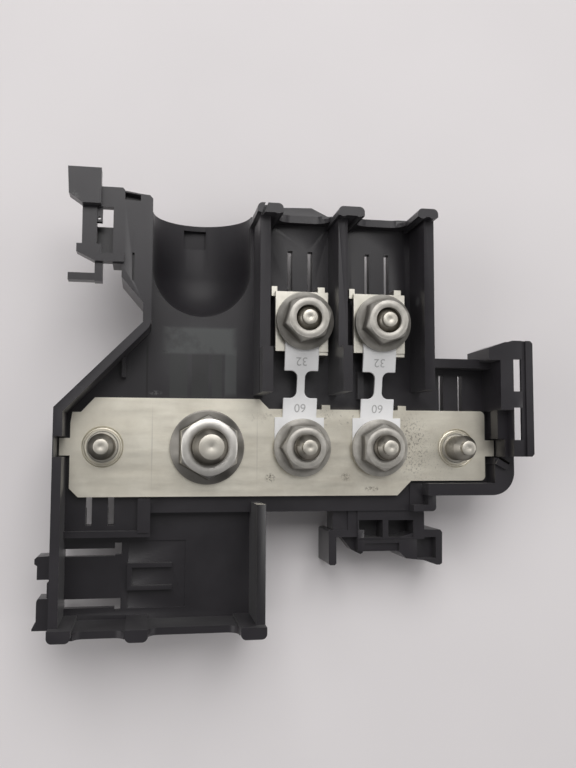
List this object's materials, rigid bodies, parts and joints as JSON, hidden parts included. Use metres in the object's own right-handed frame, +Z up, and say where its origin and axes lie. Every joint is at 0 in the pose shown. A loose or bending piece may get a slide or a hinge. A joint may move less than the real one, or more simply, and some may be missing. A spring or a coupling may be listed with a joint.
{
  "type": "power distribution block",
  "caption": "Automotive battery fuse carrier: a black moulded base with a cable trough, fuse bays and a tray, holding a plated busbar, studs, strip fuses and flange nuts.",
  "frame": {"origin": "centre of the bounding box, on the surface that the base stands on", "axes": "+X along the busbar towards its narrow end, +Y towards the cable exits of the fuse bays, +Z up, the way the studs point"},
  "size_m": [0.1164, 0.104, 0.0286],
  "materials": {
    "black_plastic": "matt moulded",
    "tin_plate": "tin plated, slightly scuffed",
    "stud_steel": "zinc plated",
    "terminal_tin": "tin plated",
    "fuse_silver": "bright silver plated",
    "nut_steel": "zinc plated"
  },
  "bodies": {
    "root": {"base": "black_plastic", "busbar": "tin_plate", "main_stud": "stud_steel", "left_stud": "stud_steel", "right_stud": "stud_steel", "fuse_1_bar_stud": "stud_steel", "fuse_1_terminal_stud": "stud_steel", "fuse_2_bar_stud": "stud_steel", "fuse_2_terminal_stud": "stud_steel", "terminal_plate_1": "terminal_tin", "terminal_plate_2": "terminal_tin", "strip_fuse_1": "fuse_silver", "strip_fuse_2": "fuse_silver", "main_nut": "nut_steel", "fuse_1_bar_nut": "nut_steel", "fuse_1_terminal_nut": "nut_steel", "fuse_2_bar_nut": "nut_steel", "fuse_2_terminal_nut": "nut_steel"}
  },
  "joints": []
}
